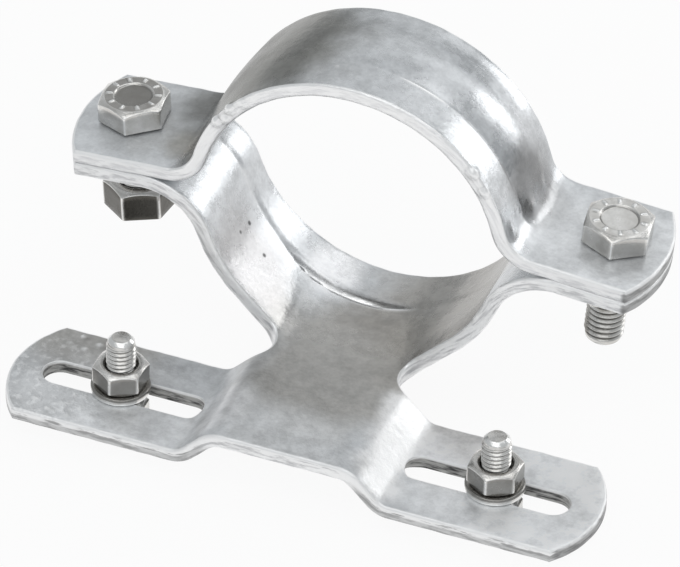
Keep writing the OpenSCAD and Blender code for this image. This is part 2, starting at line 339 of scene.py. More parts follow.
def base_middle(u, v):
    """Middle surface of the base over its flat blank.

    Behind the bead the section is the round ring. Towards the front it is eased into the flattened ring,
    then over the neck into the bar's section. The bead is pushed outward, which is down here.
    """
    round_part = section(u, -MID_R, BASE_RUNS)
    gain = PRESS_LEN / PRESS_ROUND
    reach = np.abs(u)
    along = np.where(reach < PRESS_ROUND, reach * gain, reach + PRESS_LEN - PRESS_ROUND)
    pressed = section(np.where(u < 0, -along, along), -MID_R, PRESSED_RUNS)
    bar = section(u, -MID_R, BAR_RUNS)
    press = ease(*PRESS_RUN, -v)
    neck_start = STRAP_W / 2 - NECK_LEAD * (1 - ease(NECK_HALF - NECK_SOFT, NECK_HALF + NECK_SOFT, reach))
    to_bar = ease(neck_start, -BAR_BACK_Y, -v)
    x, z, nx, nz = (round_part * (1 - press) + pressed * press) * (1 - to_bar) + bar * to_bar
    flattened = press * (1 - ease(PRESS_ROUND - PRESS_SOFT, PRESS_ROUND + PRESS_SOFT, reach))
    lift = BASE_BEAD_H * base_bead(u, v) * run_out(u, BASE_RUNS) * (1 - PRESSED_LOSS * flattened)
    return np.stack([x - lift * nx, v, z - lift * nz], axis=-1)


def line(start, end):
    """Points from start up to, not including, end."""
    start, end = np.array(start, float), np.array(end, float)
    count = max(1, int(round(np.linalg.norm(end - start) / OUTLINE_PITCH)))
    return start + (end - start) * (np.arange(count) / count)[:, None]


def arc(centre, r, from_deg, to_deg):
    """Points on an arc from one angle up to, not including, another."""
    count = max(3, int(round(abs(math.radians(to_deg - from_deg)) * r / OUTLINE_PITCH)))
    angle = np.radians(from_deg + (to_deg - from_deg) * np.arange(count) / count)
    return np.array(centre, float) + r * np.stack([np.cos(angle), np.sin(angle)], axis=1)


def both_sides(right_half):
    """A closed outline from its right half, which runs from the front's middle to the back's middle."""
    left = right_half[::-1] * (-1, 1)
    return np.concatenate([right_half, left[left[:, 0] < -1e-6]])


def ear_outline(gain, start):
    """Right ear's outline: from u = start on the front edge, round the tip, to the back edge's middle."""
    half = STRAP_W / 2
    tip = math.degrees(math.asin(half / EAR_END_R))
    centre = EAR_REACH - EAR_END_R + gain
    corner = centre + EAR_END_R * math.cos(math.radians(tip))
    return [
        line((start, -half), (corner, -half)),
        arc((centre, 0), EAR_END_R, -tip, tip),
        line((corner, half), (0, half)),
        [(0, half)],
    ]


def ear_holes(gain):
    """Outlines of the two clamp bolt holes, clockwise."""
    return [arc((side * (CLAMP_X + gain), CLAMP_Y), CLAMP_HOLE_D / 2, 360, 0) for side in (-1, 1)]


def slot_outline(side):
    """Outline of a slot, clockwise: a straight run with round ends."""
    r = SLOT_W / 2
    half = SLOT_LEN / 2 - r
    u = side * (SLOT_X + BAR_GAIN)
    return np.concatenate([
        line((u - half, BAR_Y + r), (u + half, BAR_Y + r)),
        arc((u + half, BAR_Y), r, 90, -90),
        line((u + half, BAR_Y - r), (u - half, BAR_Y - r)),
        arc((u - half, BAR_Y), r, 270, 90),
    ])


def cap_blank():
    """Outline and holes of the cap's flat blank."""
    outline = both_sides(np.concatenate(ear_outline(CAP_GAIN, 0)))
    return [outline, *ear_holes(CAP_GAIN)]


def base_blank():
    """Outline and holes of the base's flat blank: bar, wings, neck with its corners, strap and ears."""
    half = (BAR_BACK_Y - BAR_FRONT_Y) / 2
    tip = math.degrees(math.asin(half / WING_END_R))
    centre = WING_REACH - WING_END_R + BAR_GAIN
    corner = centre + WING_END_R * math.cos(math.radians(tip))
    strap_front = -STRAP_W / 2
    right = [
        line((0, BAR_FRONT_Y), (corner, BAR_FRONT_Y)),
        arc((centre, BAR_Y), WING_END_R, -tip, tip),
        line((corner, BAR_BACK_Y), (NECK_HALF + NECK_R, BAR_BACK_Y)),
        arc((NECK_HALF + NECK_R, BAR_BACK_Y + NECK_R), NECK_R, 270, 180),
        arc((NECK_HALF + NECK_R, strap_front - NECK_R), NECK_R, 180, 90),
        *ear_outline(BASE_GAIN, NECK_HALF + NECK_R),
    ]
    return [both_sides(np.concatenate(right)), *ear_holes(BASE_GAIN), slot_outline(-1), slot_outline(1)]


def inside(points, loops):
    """Which points lie inside the outline and outside the holes.

    An odd number of edges lies to the right of such a point.
    """
    odd = np.zeros(len(points), bool)
    for loop in loops:
        a, b = loop, np.roll(loop, -1, axis=0)
        spans = (a[:, 1] > points[:, 1:]) != (b[:, 1] > points[:, 1:])
        slope = (b[:, 0] - a[:, 0]) / np.where(b[:, 1] == a[:, 1], 1, b[:, 1] - a[:, 1])
        cross = a[:, 0] + (points[:, 1:] - a[:, 1]) * slope
        odd ^= (np.sum(spans & (points[:, :1] < cross), axis=1) % 2).astype(bool)
    return odd


def outward(loop):
    """Unit direction away from the material at each point of a loop that has the material on its left."""
    tangent = np.roll(loop, -1, axis=0) - np.roll(loop, 1, axis=0)
    normal = np.stack([tangent[:, 1], -tangent[:, 0]], axis=1)
    return normal / np.linalg.norm(normal, axis=1, keepdims=True)


def blank_lattice(loops):
    """Points of an even lattice that lie inside the blank, clear of its rolled edge."""
    reach = np.abs(loops[0]).max(axis=0) + 1
    u = np.arange(-reach[0], reach[0], PITCH[0])
    v = np.arange(-reach[1], reach[1], PITCH[1])
    kept = []
    edge = np.concatenate(loops)
    for row in v:
        points = np.stack([u, np.full_like(u, row)], axis=1)
        points = points[inside(points, loops)]
        gap = np.linalg.norm(points[:, None] - edge[None], axis=2).min(axis=1, initial=1e9)
        kept.append(points[gap > EDGE_CLEAR])
    return np.concatenate(kept)


def rim_wave(loop):
    """Uneven wave along a loop, from about -1 to 1: a mean of sines, each with a whole number of turns."""
    step = np.linalg.norm(np.roll(loop, -1, axis=0) - loop, axis=1)
    turn = 2 * np.pi * np.cumsum(step) / step.sum()
    waves = [np.sin(round(step.sum() / length) * turn + phase) for length, phase in RIM_WAVES]
    return np.mean(waves, axis=0)


def edge_rows(r):
    """Rows down the sheet's edge from its upper face to its lower: step outward and height, by radius r."""
    turns = np.linspace(0, math.pi / 2, ROLL_STEPS + 1)
    rolled = [(r * (math.sin(a) - 1), SHEET_T / 2 - r * (1 - math.cos(a))) for a in turns]
    side = [(0 * r, share * (SHEET_T / 2 - r)) for share in np.linspace(1, -1, SIDE_STEPS + 1)[1:-1]]
    return rolled + side + [(out, -high) for out, high in rolled[::-1]]


def flat_sheet(loops):
    """Closed flat sheet with rolled edges: points (u, v, n), faces, and masks of its rim and hole walls.

    Both faces are the triangulated lattice inside the loops drawn in by the edge radius. The rows of the
    edge, carried along each loop, join them.
    """
    radii = [EDGE_R * (1 + RIM_UNEVEN * rim_wave(loops[0]))]
    radii += [np.full(len(loop), HOLE_EDGE_R) for loop in loops[1:]]
    inner = [loop - outward(loop) * r[:, None] for loop, r in zip(loops, radii)]
    flat = np.concatenate([*inner, blank_lattice(loops)])
    starts = np.cumsum([0] + [len(loop) for loop in loops])
    rims = [np.stack([np.arange(a, b), np.r_[a + 1:b, a]], axis=1) for a, b in zip(starts[:-1], starts[1:])]
    made = delaunay_2d_cdt([Vector(p) for p in flat], np.concatenate(rims).tolist(), [], 0, 1e-7)
    triangles = np.array(made[2])
    middle = flat[triangles].mean(axis=1)
    kept = [inside(part, inner) for part in np.array_split(middle, INSIDE_BATCHES)]
    triangles = triangles[np.concatenate(kept)]
    count = len(flat)
    points = [np.c_[flat, np.full(count, SHEET_T / 2)], np.c_[flat, np.full(count, -SHEET_T / 2)]]
    rim_mask = [np.zeros(2 * count)]
    wall_mask = [np.zeros(2 * count)]
    quads = []
    total = 2 * count
    for loop, r, start in zip(loops, radii, starts):
        away = outward(loop)
        size = len(loop)
        columns = [start + np.arange(size)]
        for out, high in edge_rows(r)[1:-1]:
            points.append(np.c_[loop + away * out[:, None], high])
            rim_mask.append(np.full(size, float(start == 0)))
            wall_mask.append(np.full(size, float(start > 0)))
            columns.append(total + np.arange(size))
            total += size
        columns.append(count + start + np.arange(size))
        follow = np.r_[1:size, 0]
        for upper, lower in zip(columns[:-1], columns[1:]):
            quads.append(np.stack([upper, lower, lower[follow], upper[follow]], axis=1))
    faces = [np.concatenate([triangles, triangles[:, ::-1] + count]), np.concatenate(quads)]
    masks = {"rim": np.concatenate(rim_mask), "wall": np.concatenate(wall_mask)}
    return np.concatenate(points), faces, masks


def bend_sheet(middle, flat):
    """Bends flat points (u, v, n): the middle surface at (u, v), plus n along its normal.

    The normal is the cross product of small differences along u and along v.
    """
    u, v, n = flat.T
    step = 0.01
    du = middle(u + step, v) - middle(u - step, v)
    dv = middle(u, v + step) - middle(u, v - step)
    normal = np.cross(du, dv)
    normal /= np.linalg.norm(normal, axis=1, keepdims=True)
    return middle(u, v) + n[:, None] * normal


def add_mesh(name, points, faces, material):
    """A smooth-shaded object from points in millimetres and a list of face index arrays."""
    mesh = bpy.data.meshes.new(name)
    mesh.from_pydata((points * MM).tolist(), [], [face for group in faces for face in group.tolist()])
    mesh.update()
    mesh.polygons.foreach_set("use_smooth", np.ones(len(mesh.polygons), bool))
    mesh.materials.append(material)
    piece = bpy.data.objects.new(name, mesh)
    bpy.context.scene.collection.objects.link(piece)
    return piece


def set_attribute(mesh, name, values):
    """Gives each vertex of a mesh a number that its material can read."""
    attribute = mesh.attributes.new(name, "FLOAT", "POINT")
    attribute.data.foreach_set("value", values.astype(np.float32))


def raise_drops(mesh, drops):
    """Lifts drops of zinc, each (place, radius, height), along the normal.

    The lift is the height times exp(-(distance / radius)^2), less a small share and never below zero, so
    that a drop ends about two radii out. Gives the painted light at each vertex: a painted highlight on the
    top of each drop and a painted shadow in a ring round its foot.
    """
    points = np.empty((len(mesh.vertices), 3), np.float32)
    rub = np.zeros(len(points))
    normals = np.empty_like(points)
    mesh.vertices.foreach_get("co", points.ravel())
    mesh.vertex_normals.foreach_get("vector", normals.ravel())
    for place, r, height in drops:
        away = np.linalg.norm(points / MM - np.array(place), axis=1) / r
        lift = np.maximum(np.exp(-away ** 2) - DROP_CUT, 0)
        foot = np.exp(-((away - DROP_FOOT_AT) / DROP_FOOT_W) ** 2)
        points += normals * (height * MM * lift)[:, None]
        # Painted highlight on each drop's top and painted shadow in a ring round its foot
        rub += height / r * (DROP_HIGHLIGHT * lift - DROP_SHADOW * foot)
    mesh.vertices.foreach_set("co", points.ravel())
    mesh.update()
    return rub


def sheet_piece(name, node, loops, middle, rub, drops, material):
    """A bent sheet from its blank and its middle surface, with drops of zinc, in place of its CAD node."""
    flat, faces, masks = flat_sheet(loops)
    piece = add_mesh(name, bend_sheet(middle, flat), faces, material)
    drop_painted_light = raise_drops(piece.data, drops)
    for key, mask in masks.items():
        set_attribute(piece.data, key, mask)
    set_attribute(piece.data, "depth", flat[:, 2] * MM)
    set_attribute(piece.data, "rub", rub(flat[:, 0], flat[:, 1]) + drop_painted_light)
    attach(piece, "bracket")
    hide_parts(node)


class Value:
    """A socket of a shader. Arithmetic on it adds Math nodes, and add() makes any other node."""

    def __init__(self, tree, socket=None):
        self.tree = tree
        self.socket = socket

    def add(self, kind, settings=None, inputs=None, out=0):
        """Adds a node of this kind, with its settings first and then the values or links of its sockets."""
        node = self.tree.nodes.new("ShaderNode" + kind)
        for key, setting in (settings or {}).items():
            setattr(node, key, setting)
        for key, value in (inputs or {}).items():
            if isinstance(value, Value):
                self.tree.links.new(value.socket, node.inputs[key])
            else:
                node.inputs[key].default_value = value
        return Value(self.tree, node.outputs[out] if node.outputs else None)

    def math(self, operation, *values):
        """Adds a Math node for an operation on values or numbers."""
        return self.add("Math", {"operation": operation}, dict(enumerate(values)))

    def __add__(self, other):
        return self.math("ADD", self, other)

    def __radd__(self, other):
        return self.math("ADD", other, self)

    def __sub__(self, other):
        return self.math("SUBTRACT", self, other)

    def __rsub__(self, other):
        return self.math("SUBTRACT", other, self)

    def __mul__(self, other):
        return self.math("MULTIPLY", self, other)

    def __rmul__(self, other):
        return self.math("MULTIPLY", other, self)

    def between(self, low, high):
        """0 below low, 1 above high, eased between."""
        return self.add("MapRange", {"interpolation_type": "SMOOTHSTEP"}, {0: self, 1: low, 2: high})

    def mix(self, first, second):
        """Colour between two colours by this value."""
        return self.add("Mix", {"data_type": "RGBA"}, {0: self, 6: first, 7: second}, out=2)


def new_material(name):
    """An empty node material and a Value to build its shader from."""
    material = bpy.data.materials.new(name)
    material.use_nodes = True
    material.node_tree.nodes.clear()
    return material, Value(material.node_tree)


def noise(here, coords, size_mm, detail, roughness):
    """Soft noise whose blotches are about this many millimetres across."""
    inputs = {"Vector": coords, "Scale": 1 / (size_mm * MM), "Detail": detail, "Roughness": roughness}
    return here.add("TexNoise", None, inputs)


def grey(level):
    """A grey colour."""
    return level, level, level, 1


# How far a patch's border wanders, and where it begins and ends, as shares of its reach
PATCH_WANDER = 0.9
PATCH_BORDER = (1.25, 0.6)


def patch(here, coords, place, reach, wander):
    """1 within a wandering patch round a place, eased to 0 at its border. Sizes are in millimetres."""
    centre = [MM * c for c in place]
    away = here.add("VectorMath", {"operation": "DISTANCE"}, {0: coords, 1: centre}, out="Value")
    outer, inner = (share * reach * MM for share in PATCH_BORDER)
    return (away + wander * (PATCH_WANDER * reach * MM)).between(outer, inner)


# Patches that differ from the rest of the zinc, among them painted shade and a painted reflection: place,
# reach, strength and colour
# Painted reflection: white patches down the slope of the bar's right step
SLOPE_PAINTED_REFLECTIONS = [((18.5, y, -34), 6.5, 0.9, grey(0.98)) for y in (-27, -35, -43)]
PIT_PLACES = ((-26.0, 0.4, -16.8), (-26.4, -3.7, -16.3), (-21.8, -2.0, -22.0))
PITS = [(place, 0.6, 0.9, grey(0.06)) for place in PIT_PLACES]
ZINC_AND_SHADE_PATCHES = (
    # Painted shade: two dark patches on the left of the cap
    ((-26, 2, 27), 23, 0.88, (0.20, 0.197, 0.18, 1)),
    ((-33, 4, 14), 16, 0.85, (0.10, 0.098, 0.088, 1)),
    ((3, -19, -31), 22, 0.8, (0.42, 0.405, 0.38, 1)),
    ((17, 3, -25), 22, 0.8, (0.36, 0.342, 0.315, 1)),
    # Painted shade in the crease where the cap bends into its right ear
    ((34, 2, 10), 10, 0.85, grey(0.17)),
    ((-50, -22, -38), 14, 0.8, (0.40, 0.385, 0.36, 1)),
    ((48, -36, -38), 24, 0.85, (0.95, 0.96, 0.97, 1)),
    ((27, -27, -38), 12, 0.8, (0.95, 0.95, 0.96, 1)),
    *SLOPE_PAINTED_REFLECTIONS,
    ((-17, -38, -34), 8, 0.7, (0.90, 0.90, 0.91, 1)),
    ((-40, -44, -38), 20, 0.75, (0.90, 0.91, 0.92, 1)),
    ((0, -47, -31), 13, 0.6, (0.84, 0.85, 0.86, 1)),
    ((52, -6, 3), 21, 0.65, (0.86, 0.87, 0.88, 1)),
    ((-10, 7.5, -29), 7, 0.85, (0.95, 0.95, 0.96, 1)),
    ((-37.5, -5, 5.5), 5.5, 0.6, (0.28, 0.262, 0.225, 1)),
    ((-24, -7, -20), 11, 0.75, (0.46, 0.45, 0.45, 1)),
    *PITS,
)

# The rough end of the left wing: place and reach
ROUGH_PLACE = (-54, -38, -38)
ROUGH_REACH = 15

# Where the zinc's looks change, in metres: the distance from the post's axis at which the ring ends, the Y
# where the flat neck begins, the X of the right-hand ends, and the Z where rims turn pale and where they dull
RING_END = (0.035, 0.041)
NECK_START = (-0.011, -0.017)
RIGHT_END = (0.0566, 0.0576)
PALE_Z = (-0.004, 0.004)
DULL_Z = (-0.033, -0.036)

# Heights through the sheet, in metres: a rim's crest, which carries a painted highlight, how far it wavers, how
# far less it does so at the right-hand ends, how far it is shifted there, and the lip of a hole, which carries
# a painted highlight
RIM_HIGHLIGHT_BAND = (0.0002, 0.0009)
CREST_WAVER = 0.0008
END_WAVER_LOSS = 0.0006
END_CREST_SHIFT = 0.0005
LIP_HIGHLIGHT_BAND = (0.0008, 0.0012)


def galvanised_zinc():
    """Hot-dipped zinc: warm and pale patches under a grey mottle, flow ripples, streaked rims and hole walls.

    The ring is smooth and shiny, and the flat ears, neck and bar are duller. The left wing's end is rough and
    speckled. Lines along the beads and the tops of drops carry painted highlights, and parts of the cap's line
    and rings round the drops' feet carry painted shade. Two dark patches on the cap's left and one in its right
    bend are painted shade, and white patches on the bar's right step are a painted reflection. Each rim carries
    a painted highlight along its upper crest, and hole walls carry painted shade under a painted highlight at
    their lip. Rims are palest on the ring and ears, darker on the wings and darkest at the right-hand ends.
    """
    material, here = new_material("galvanised_zinc")
    coords = here.add("TexCoord", out="Object")
    x, y, z = (here.add("SeparateXYZ", None, {0: coords}, out=axis) for axis in range(3))
    keys = ("rim", "wall", "depth", "rub")
    rim, wall, depth, rub = (here.add("Attribute", {"attribute_name": key}, out="Fac") for key in keys)
    clouds = noise(here, coords, 12, 4, 0.55).between(0.34, 0.66)
    mottle = noise(here, coords, 2.8, 4, 0.62).between(0.3, 0.7)
    grain = noise(here, coords, 0.8, 3, 0.6).between(0.3, 0.7)
    specks = noise(here, coords, 1.5, 3, 0.6).between(0.42, 0.74)
    wander = noise(here, coords, 14, 3, 0.55) - 0.5
    through = here.add("CombineXYZ", None, {2: depth})
    stretched = {0: coords, 1: (0.2, 0.2, 0.2), 2: through}
    along = here.add("VectorMath", {"operation": "MULTIPLY_ADD"}, stretched)
    streaks = noise(here, along, 0.9, 3, 0.6).between(0.34, 0.58)
    off_ring = here.math("SQRT", x * x + z * z).between(*RING_END)
    flat = here.math("MAXIMUM", off_ring, y.between(*NECK_START))
    rough = patch(here, coords, ROUGH_PLACE, ROUGH_REACH, wander)

    zinc = (0.62, 0.635, 0.65, 1)
    for place, reach, strength, colour in ZINC_AND_SHADE_PATCHES:
        zinc = (strength * patch(here, coords, place, reach, wander)).mix(zinc, colour)
    level = 0.78 + (0.13 + 0.09 * flat) * clouds + 0.2 * mottle + 0.1 * grain
    multiply = {"data_type": "RGBA", "blend_type": "MULTIPLY"}
    zinc = here.add("Mix", multiply, {0: 1.0, 6: zinc, 7: level}, out=2)
    zinc = (0.5 * rough * specks).mix(zinc, grey(0.97))
    zinc = (0.3 * rough * (1 - specks)).mix(zinc, grey(0.3))

    end = x.between(*RIGHT_END)
    waver = (CREST_WAVER - END_WAVER_LOSS * end) * (streaks - 0.5)
    crest_highlight = (depth + waver - END_CREST_SHIFT * end).between(*RIM_HIGHLIGHT_BAND)
    pale_low = z.between(*PALE_Z).mix((0.62, 0.62, 0.63, 1), (0.88, 0.88, 0.89, 1))
    pale_rim = streaks.mix(pale_low, grey(0.99))
    dull_rim = streaks.mix(grey(0.40), grey(0.66))
    end_rim = streaks.mix(grey(0.24), grey(0.44))
    side_rim = end.mix(z.between(*DULL_Z).mix(pale_rim, dull_rim), end_rim)
    # Painted highlight along each rim's upper crest
    zinc = rim.mix(zinc, crest_highlight.mix(side_rim, grey(0.98)))
    # Painted highlights and painted shade along the beads and on and round the drops
    zinc = rub.between(0.0, 0.9).mix(zinc, grey(0.99))
    zinc = rub.between(0.0, -0.9).mix(zinc, grey(0.15))
    # Hole walls: streaked painted shade, under a painted highlight at the lip
    wall_shade = streaks.mix(grey(0.05), (0.42, 0.42, 0.41, 1))
    zinc = wall.mix(zinc, depth.between(*LIP_HIGHLIGHT_BAND).mix(wall_shade, grey(0.95)))

    roughness = 0.2 + 0.09 * flat + 0.08 * clouds + 0.06 * mottle + 0.1 * rim + 0.1 * wall
    ripples = noise(here, coords, 9, 3, 0.5)
    height = ripples + (0.05 + 0.1 * flat) * mottle + 0.03 * grain
    height = height + 0.2 * rim * streaks + 0.4 * rough * specks
    bump = here.add("Bump", None, {"Strength": 0.5, "Distance": 0.0005, "Height": height})
    shader = here.add("BsdfPrincipled", None, {
        "Base Color": zinc, "Metallic": 0.9 - 0.3 * flat, "Roughness": roughness, "Normal": bump})
    here.add("OutputMaterial", None, {"Surface": shader})
    return material


def plated_steel():
    """Plated fastener steel: warm dark grey with fine grain, with painted highlights on its edges and painted
    shade in its hollows.
    """
    material, here = new_material("plated_steel")
    coords = here.add("TexCoord", out="Object")
    wear = here.add("Attribute", {"attribute_name": "wear"}, out="Fac")
    clouds = noise(here, coords, 3.5, 3, 0.6).between(0.3, 0.7)
    grain = noise(here, coords, 0.35, 3, 0.6)
    steel = clouds.mix((0.60, 0.585, 0.56, 1), (0.80, 0.79, 0.77, 1))
    # Painted highlights where the attribute is above zero, painted shade where it is below
    steel = wear.between(0.1, 0.9).mix(steel, (0.86, 0.86, 0.85, 1))
    steel = wear.between(-0.1, -0.9).mix(steel, (0.10, 0.095, 0.085, 1))
    roughness = 0.13 + 0.12 * clouds + 0.06 * grain
    bump = here.add("Bump", None, {"Strength": 0.3, "Distance": 0.00015, "Height": grain + 0.5 * clouds})
    shader = here.add("BsdfPrincipled", None, {
        "Base Color": steel, "Metallic": 1.0, "Roughness": roughness, "Normal": bump})
    here.add("OutputMaterial", None, {"Surface": shader})
    return material


# Fasteners, in millimetres
FACE_INSET = 0.55
CORNER_SLOPE = math.radians(30)
CORNER_R = 0.25
HEX_STEPS = 20
SOFT_EDGE = 0.12
SIDE_ROWS = 6
END_CHAMFER = 0.8
LEAD_IN = 1.2
TICK_H = 0.4
DISH_DEPTH = 0.5
SEAT_H = 0.35
SEAT_GAP = 0.02
SEAT_SHARE = 0.46

# How closely a hexagon's points crowd at its corners, and where a corner carries a painted highlight, from a
# flat's middle
CORNER_CROWD = 0.75
CORNER_HIGHLIGHT = (math.radians(27), math.radians(29.6))

# Rows over a hexagon's corner cone: share of the way out, and painted light
CONE_ROWS = ((0.0, 0.0), (0.12, 0.4), (0.5, 0.1), (0.85, 0.2))

# Threads: rows to a pitch, how round the crests are, how dark the painted shade in the valleys is, how bright
# the painted highlight on the crests is and how far the sides' painted light changes that, and the share of the
# depth that the plain end lies down
THREAD_ROWS = 14
CREST_ROUND = 1.15
VALLEY_SHADE = 1.3
CREST_HIGHLIGHT = 0.55
CREST_BY_SIDE = 0.7
PLAIN_SHARE = 0.6


def hex_angles(turn_deg):
    """Angles round a hexagon, close together at its corners, which lie at turn_deg and each 60 degrees on."""
    share = np.linspace(-1, 1, HEX_STEPS, endpoint=False)
    sector = 30 * np.sign(share) * np.abs(share) ** CORNER_CROWD
    return np.radians(turn_deg + 30 + (np.arange(6)[:, None] * 60 + sector).ravel())


def off_flat(angles, turn_deg):
    """Angle from the middle of the nearest flat, from 0 to 30 degrees, in radians."""
    return np.abs(np.mod(angles - math.radians(turn_deg), math.pi / 3) - math.pi / 6)


def hex_radius(off, across):
    """Distance from the axis to a hexagon with rounded corners: flats, and an arc round each corner."""
    flat = across / 2
    tangent = math.atan((flat - CORNER_R) * math.tan(math.pi / 6) / flat)
    centre = (flat - CORNER_R) / math.cos(math.pi / 6)
    to_corner = math.pi / 6 - off
    chord = np.sqrt(np.maximum(CORNER_R ** 2 - (centre * np.sin(to_corner)) ** 2, 0))
    return np.where(off < tangent, flat / np.cos(off), centre * np.cos(to_corner) + chord)


def hex_side(angles, turn_deg, across, low, high, chamfer_low, side_lit):
    """Rings down a hexagon's side, from the edge of its upper end face to that of its lower.

    A cone turns the corners off: its height falls with the radius at the corner slope. Corners and the edges
    of the end faces carry painted highlights.
    """
    off = off_flat(angles, turn_deg)
    rho = hex_radius(off, across)
    corner = side_lit + (1 - side_lit) * ease(*CORNER_HIGHLIGHT, off)
    face_r = across / 2 - FACE_INSET
    drop = (rho - face_r) * math.tan(CORNER_SLOPE)
    cone = [(face_r + (rho - face_r) * share, drop * share, bright + 0.5 * side_lit)
            for share, bright in CONE_ROWS]
    top = high - drop
    bottom = low + drop if chamfer_low else low + 0 * drop
    long = top - bottom - 2 * SOFT_EDGE
    rings = [(r, high - fall, bright) for r, fall, bright in cone]
    rings.append((rho - 0.3 * SOFT_EDGE, top - 0.35 * SOFT_EDGE, 0.9))
    rings += [(rho, top - SOFT_EDGE - long * share, corner) for share in np.linspace(0, 1, SIDE_ROWS)]
    rings.append((rho - 0.3 * SOFT_EDGE, bottom + 0.35 * SOFT_EDGE, 0.6))
    if chamfer_low:
        rings += [(r, low + fall, bright) for r, fall, bright in cone[::-1]]
    else:
        rings.append((rho - SOFT_EDGE, bottom, 0.0))
    return rings


def turned(rings, angles, closed):
    """Rings (radius, height, painted light) carried round the axis: points, faces and painted light.

    closed joins the last ring to the first.
    """
    shape = (len(rings), len(angles))
    spread = [[np.broadcast_to(ring[k], shape[1:]) for ring in rings] for k in range(3)]
    radius, height, wear = np.array(spread)
    points = np.stack([radius * np.cos(angles), radius * np.sin(angles), height], axis=-1).reshape(-1, 3)
    index = np.arange(len(points)).reshape(shape)
    follow = np.roll(index, -1, axis=1)
    quads = np.stack([index, np.roll(index, -1, axis=0), np.roll(follow, -1, axis=0), follow], axis=-1)
    quads = quads if closed else quads[:-1]
    return points, quads.reshape(-1, 4), wear.ravel()


def thread_rings(angles, major_r, depth, pitch, top, end, crest_lit):
    """Rings down a threaded shank: a ridge that falls one pitch a turn and fades into a chamfered end."""
    heights = np.arange(top, end + END_CHAMFER, -pitch / THREAD_ROWS)
    phase = heights[:, None] / pitch - angles / (2 * math.pi)
    valley = np.abs(2 * np.mod(phase, 1) - 1) ** CREST_ROUND
    fade = ease(0.3, LEAD_IN, heights - end - END_CHAMFER)[:, None]
    end_r = major_r - PLAIN_SHARE * depth
    radius = end_r + (major_r - end_r - depth * valley) * fade
    # Painted shade in the thread's valleys and painted highlights on its crests
    rings = list(zip(radius, heights, fade * (crest_lit - VALLEY_SHADE * valley)))
    # Painted highlight on the chamfered end
    rings.append((end_r, end + END_CHAMFER, 0.4))
    rings.append((end_r - 0.12 * END_CHAMFER, end + 0.85 * END_CHAMFER, 0.8))
    rings.append((end_r - 0.9 * END_CHAMFER, end + 0.08, 0.8))
    rings.append((end_r - 1.1 * END_CHAMFER, end, 0.2))
    rings.append((0.0, end, 0.0))
    return rings


def hex_bolt(turn_deg, thread_d, depth, pitch, long, across, high, dish_r, wear, ticks):
    """A bolt, head up, with the head's underside at zero: dish, rim with raised ticks, hexagon, seat, thread.

    The painted light and shade is given for the dish, the face round it, the sides and the seat.
    """
    dish_lit, face_lit, side_lit, seat_lit = wear
    angles = hex_angles(turn_deg)
    face_r = across / 2 - FACE_INSET
    floor = high - DISH_DEPTH
    # Painted light in the dish: shade down its wall and a highlight at its edge
    rings = [(0.0, floor, dish_lit), (dish_r * 0.5, floor, dish_lit), (dish_r - 0.5, floor, dish_lit)]
    rings += [(dish_r - 0.2, floor + 0.1 * DISH_DEPTH, -0.6), (dish_r, floor + 0.6 * DISH_DEPTH, -0.2)]
    rings.append((dish_r + 0.12, high - 0.02, 0.4))
    wave = np.maximum(np.cos(ticks * (angles - math.radians(turn_deg))), 0) ** 6 if ticks else 0 * angles
    # The raised ticks carry a painted highlight
    for share in np.linspace(0.12, 0.92, 9):
        tick = ease(0.12, 0.25, share) * (1 - ease(0.75, 0.88, share)) * wave
        rings.append((dish_r + (face_r - dish_r) * share, high + TICK_H * tick, face_lit + 2.2 * tick))
    rings += hex_side(angles, turn_deg, across, SEAT_H, high, False, side_lit)
    # The seat carries the painted light that each bolt sets: shade under the clamp heads, light under the sign
    # heads
    rings += [(SEAT_SHARE * across, SEAT_H, seat_lit), (SEAT_SHARE * across, SEAT_GAP, seat_lit)]
    rings += [(thread_d / 2 + 0.4, SEAT_GAP, seat_lit), (thread_d / 2, -0.25, 0.0)]
    crest_lit = CREST_HIGHLIGHT + CREST_BY_SIDE * side_lit
    rings += thread_rings(angles, thread_d / 2, depth, pitch, -0.3, -long, crest_lit)
    return turned(rings, angles, False)


def hex_nut(turn_deg, thread_d, across, high, chamfer_low, side_lit):
    """A nut standing on zero: chamfered hexagon, end faces and a bore with painted shade in the countersink at
    each end.
    """
    angles = hex_angles(turn_deg)
    bore_r = thread_d / 2 + 0.04
    sink = 0.6
    # The countersinks carry painted shade
    mouth = [
        (bore_r, sink, -1.0),
        (bore_r + 0.9 * sink, 0.06, -0.6),
        (bore_r + sink + 0.1, 0.0, 0.5 * side_lit),
    ]
    rings = [(r, high - fall, wear) for r, fall, wear in mouth]
    rings += hex_side(angles, turn_deg, across, 0.0, high, chamfer_low, side_lit)
    return turned(rings + mouth[::-1], angles, True)


def flat_washer(outer_d, hole_d, high):
    """A washer standing on zero, with its outer edges rolled over: painted shade above, a painted highlight
    below.
    """
    angles = np.linspace(0, 2 * math.pi, 96, endpoint=False)
    soft = 0.45
    outer = outer_d / 2 - soft
    turn = np.linspace(0, math.pi / 2, 6)
    # Painted highlight on the lower rolled edge; the upper face and its rolled edge carry painted shade
    rolled = [(outer + soft * math.sin(a), soft * (1 - math.cos(a)), 0.95 * math.sin(a)) for a in turn]
    bore = [(hole_d / 2, 0.1, -1.0), (hole_d / 2 + 0.1, 0.0, -0.5)]
    rings = [(r, high - fall, -0.6) for r, fall, _ in bore + rolled]
    return turned(rings + rolled[::-1] + bore[::-1], angles, True)


def placed(points, tilt, at, flip):
    """Points turned over if flip, leaned about Y by tilt, and moved to a place in the leaned frame."""
    x, y, z = (points * (1, -1, -1) if flip else points).T + np.array(at)[:, None]
    c, s = math.cos(tilt), math.sin(tilt)
    return np.stack([c * x + s * z, y, c * z - s * x], axis=1)


